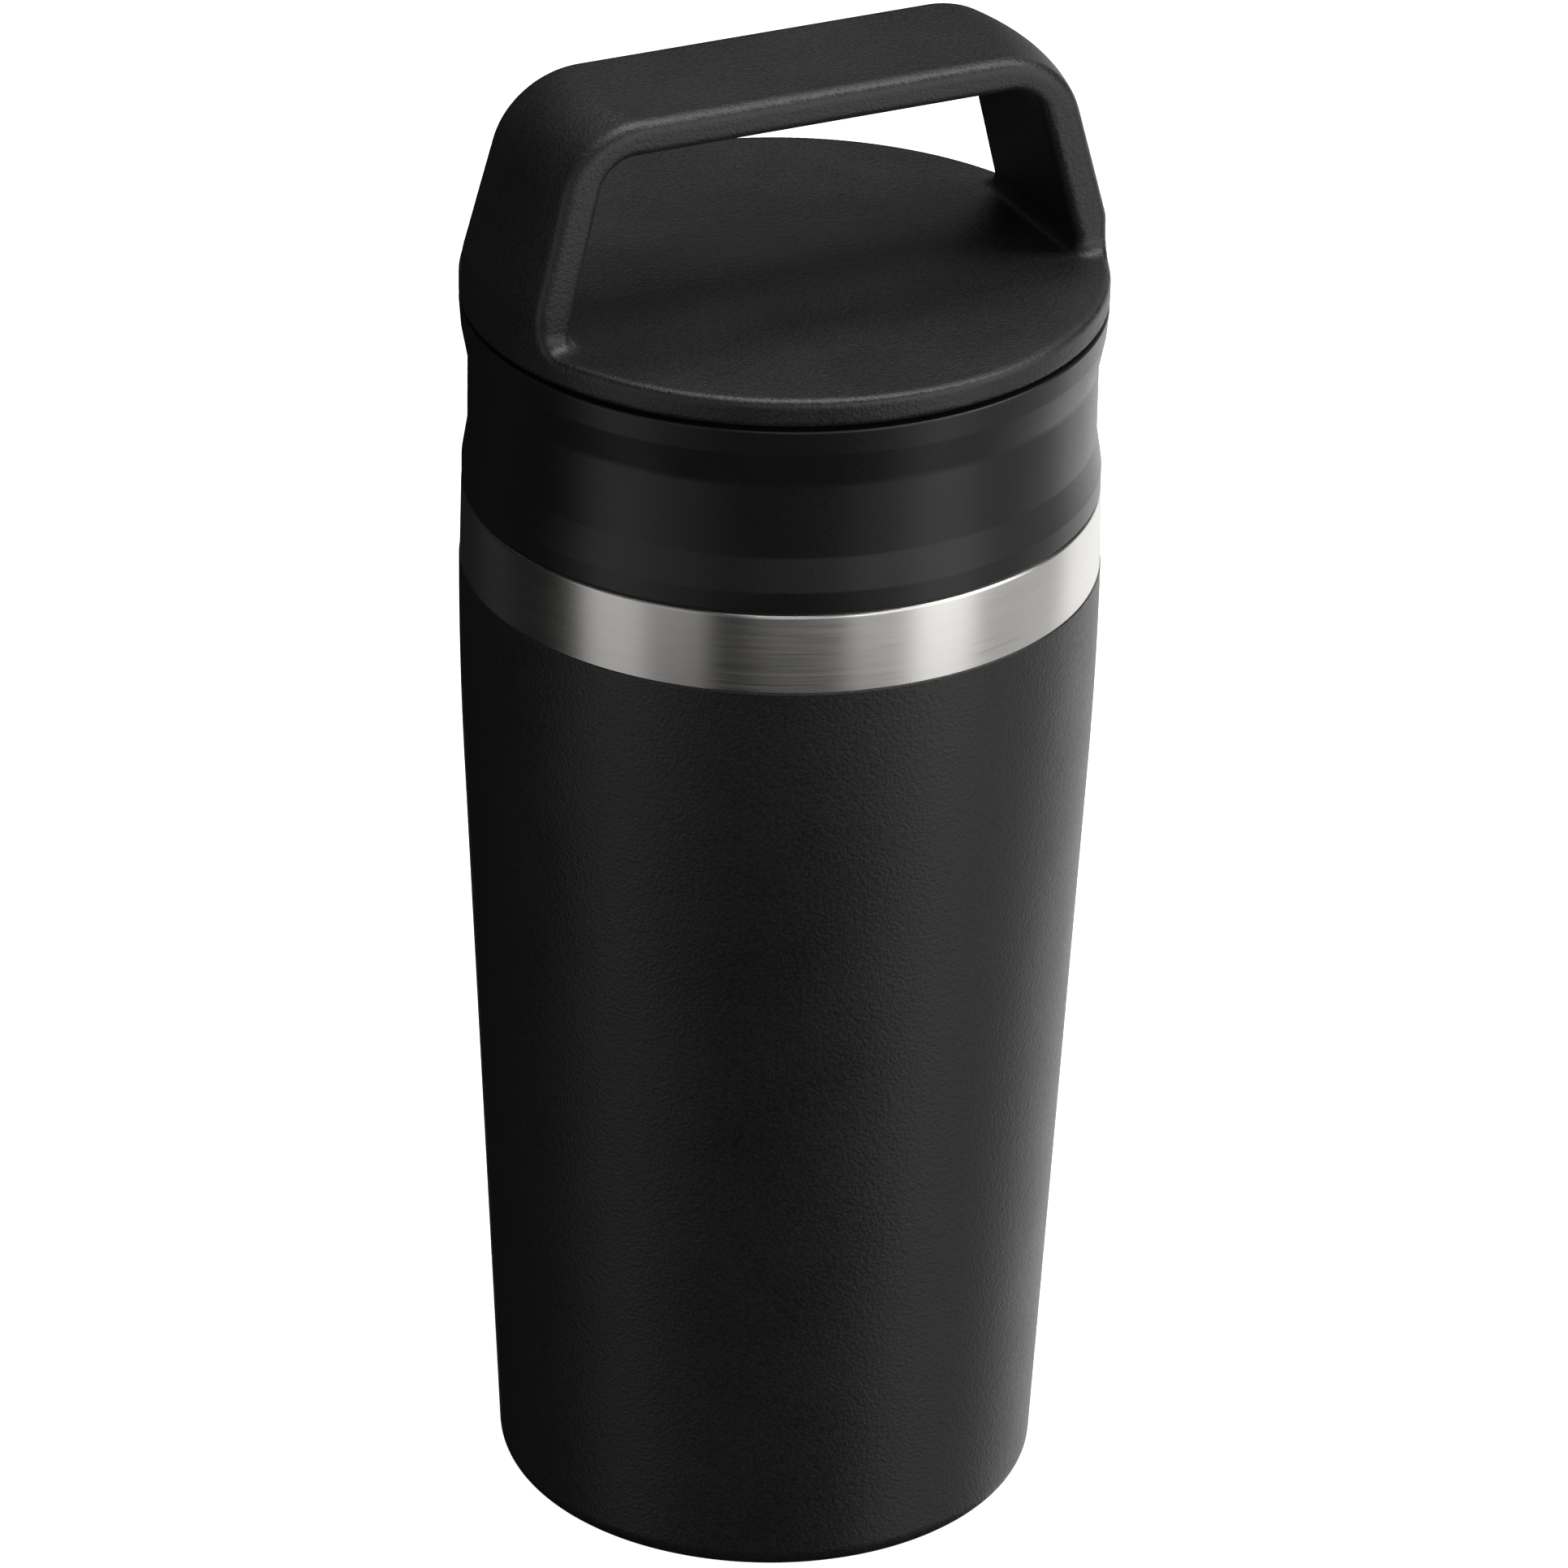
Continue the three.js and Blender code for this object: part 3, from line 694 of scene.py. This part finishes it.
attach(coated_body(), "vessel", "outer_shell", "powder_coat")
attach(steel_cup(), "vessel", "inner_shell", "bare_steel")
attach(foot_plate(), "vessel", "base_plate", "base_steel")
attach(foot_pad(), "vessel", "base_pad", "pad_rubber")
attach(collar_moulding(), "collar", "drinking_collar", "collar_plastic")
attach(thread_ring_moulding(), "collar", "collar_thread_ring", "thread_plastic")
gasket_inner, seal_inner = NECK_RADIUS + 0.3, 28.4
gasket = ring("gasket_ring", gasket_inner, GASKET_HIGH[0], GASKET_LOW[2], GASKET_HIGH[2], 0.3)
attach(gasket, "collar_seal_ring", "collar_gasket", "gasket_rubber")
seal = ring("seal_ring", seal_inner, SEAL_HIGH[0], SEAL_LOW[2], SEAL_HIGH[2], 0.5)
attach(seal, "cap_seal_ring", "cap_seal", "seal_rubber")
attach(cap_moulding(), "cap", "cap_shell", "cap_plastic")
attach(plug_moulding(), "cap", "cap_plug", "plug_plastic")
attach(foam_disc(), "cap", "cap_foam", "foam")
dress("port_seal", "seal_metal")
dress("getter", "getter_metal")

# ---- Camera -------------------------------------------------------------------------------------

VIEW_AZIMUTH, VIEW_ELEVATION, VIEW_ROLL = 64.06, 27.08, 1.055  # degrees, of the line of sight
VIEW_DISTANCE = 1.2627
VIEW_CENTRE = Vector((0.0007, -0.001, 0.0959))
LENS, SENSOR = 230.5, 36


def photo_camera():
    azimuth, elevation = math.radians(VIEW_AZIMUTH), math.radians(-VIEW_ELEVATION)
    level_share = math.cos(elevation)
    forward = Vector(
        (level_share * math.cos(azimuth), level_share * math.sin(azimuth), math.sin(elevation))
    )
    level = forward.cross(Vector((0, 0, 1))).normalized()
    turn = Matrix.Rotation(-math.radians(VIEW_ROLL), 3, forward)
    right = turn @ level
    up = right.cross(forward)
    data = bpy.data.cameras.new("camera")
    data.lens = LENS
    data.sensor_width = SENSOR
    made = bpy.data.objects.new("camera", data)
    axes = Matrix((right, up, -forward)).transposed().to_4x4()
    made.matrix_world = Matrix.Translation(VIEW_CENTRE - forward * VIEW_DISTANCE) @ axes
    bpy.context.scene.collection.objects.link(made)
    bpy.context.scene.camera = made


photo_camera()

# ---- Studio -------------------------------------------------------------------------------------

MIDDLE = Vector((0, 0, 0.1))  # of the mug, which the lights are placed from


def softbox(name, away, width, height, power):
    """An area light at `away` from the middle of the mug, turned to face it. `power` is in watts."""
    data = bpy.data.lights.new(name, "AREA")
    data.shape = "RECTANGLE"
    data.size = width
    data.size_y = height
    data.energy = power
    lamp = bpy.data.objects.new(name, data)
    lamp.location = MIDDLE + away
    lamp.rotation_euler = away.to_track_quat("Z", "Y").to_euler()
    lamp.visible_camera = False
    bpy.context.scene.collection.objects.link(lamp)
    return lamp


def upright_box(name, side, width, low, high, power):
    """A softbox that stands upright 0.9 m from the mug's axis and faces it, `side` degrees to the
    camera's right and between two heights from the middle of the mug."""
    azimuth = math.radians(VIEW_AZIMUTH + 180 + side)
    distance = 0.9
    away = Vector((math.cos(azimuth), math.sin(azimuth), 0)) * distance
    lamp = softbox(name, away, width, high - low, power)
    lamp.location.z += (low + high) / 2


def overhead_box(name, side, elevation, size, power):
    """A square softbox 1 m away, `side` degrees to the camera's right and raised by `elevation`."""
    azimuth = math.radians(VIEW_AZIMUTH + 180 + side)
    rise = math.radians(elevation)
    level = math.cos(rise)
    away = Vector((math.cos(azimuth) * level, math.sin(azimuth) * level, math.sin(rise)))
    softbox(name, away, size, size, power)


def studio_floor():
    """A pale floor that only the camera sees, and only from above."""
    size, level = 6, -0.0001
    mesh = bpy.data.meshes.new("floor")
    corners = [(-size, -size, level), (size, -size, level), (size, size, level), (-size, size, level)]
    mesh.from_pydata(corners, [], [(0, 1, 2, 3)])
    floor = bpy.data.objects.new("floor", mesh)
    bpy.context.scene.collection.objects.link(floor)
    material = bpy.data.materials.new("floor paper")
    material.use_nodes = True
    tree = material.node_tree
    shader = tree.nodes["Principled BSDF"]
    shader.inputs["Base Color"].default_value = (0.8, 0.8, 0.79, 1)
    shader.inputs["Roughness"].default_value = 0.9
    shader.inputs["Emission Color"].default_value = (1, 1, 1, 1)
    shader.inputs["Emission Strength"].default_value = 1.0
    behind = node(tree, "ShaderNodeNewGeometry").outputs["Backfacing"]
    clear = node(tree, "ShaderNodeBsdfTransparent").outputs[0]
    paper = node(tree, "ShaderNodeMixShader", {0: behind, 1: shader.outputs[0], 2: clear}).outputs[0]
    tree.links.new(paper, tree.nodes["Material Output"].inputs["Surface"])
    mesh.materials.append(material)
    floor.visible_diffuse = False
    floor.visible_glossy = False
    floor.visible_shadow = False


def studio_world():
    """White to the camera, dim to everything else."""
    world = bpy.data.worlds.new("studio")
    bpy.context.scene.world = world
    world.use_nodes = True
    tree = world.node_tree
    backdrop = tree.nodes["Background"]
    rays = node(tree, "ShaderNodeLightPath").outputs["Is Camera Ray"]
    strength = node(tree, "ShaderNodeMapRange", {"Value": rays, 3: 0.008, 4: 1.0}).outputs[0]
    tree.links.new(strength, backdrop.inputs["Strength"])
    backdrop.inputs["Color"].default_value = (1, 1, 1, 1)


upright_box("left key", -60, 0.38, -0.55, 0.4, 0.78)
upright_box("left foot", -60, 0.38, -0.9, -0.55, 0.1)
upright_box("left rear", -120, 0.38, -0.9, 0, 0.02)
upright_box("left wing", -36, 0.38, -0.45, 0.6, 0.52)
upright_box("front high", 10, 0.62, 0, 0.6, 1.0)
upright_box("right wing low", 36, 0.38, -0.45, 0, 0.23)
upright_box("right wing high", 36, 0.38, 0, 0.6, 1.35)
upright_box("right key", 60, 0.38, -0.38, 0.6, 1.85)
upright_box("right key low", 60, 0.38, -0.9, -0.38, 0.5)
upright_box("right edge low", 84, 0.38, -0.9, 0, 0.33)
upright_box("right edge high", 84, 0.38, 0, 0.6, 1.3)
upright_box("right low", 108, 0.38, -0.9, 0, 0.5)
upright_box("rim", 132, 0.38, -0.9, 0, 1.3)
upright_box("rim tail", 156, 0.38, -0.9, 0, 1.35)
upright_box("rear high", 156, 0.38, 0, 0.6, 0.34)
upright_box("rear low", 180, 0.38, -0.9, -0.45, 0.65)
overhead_box("high right", 90, 50, 0.35, 2.4)
overhead_box("high right back", 135, 50, 0.35, 0.26)
overhead_box("high back", 180, 50, 0.35, 0.25)
overhead_box("high left back", -135, 50, 0.35, 0.12)
overhead_box("crown right", 90, 70, 0.3, 2.2)
overhead_box("crown back", 180, 70, 0.3, 1.9)
overhead_box("crown left", -90, 70, 0.3, 0.5)
overhead_box("crown front", 0, 70, 0.3, 0.6)
overhead_box("top", 0, 90, 0.3, 1.3)
studio_floor()
studio_world()
bpy.context.scene.view_settings.view_transform = "Standard"
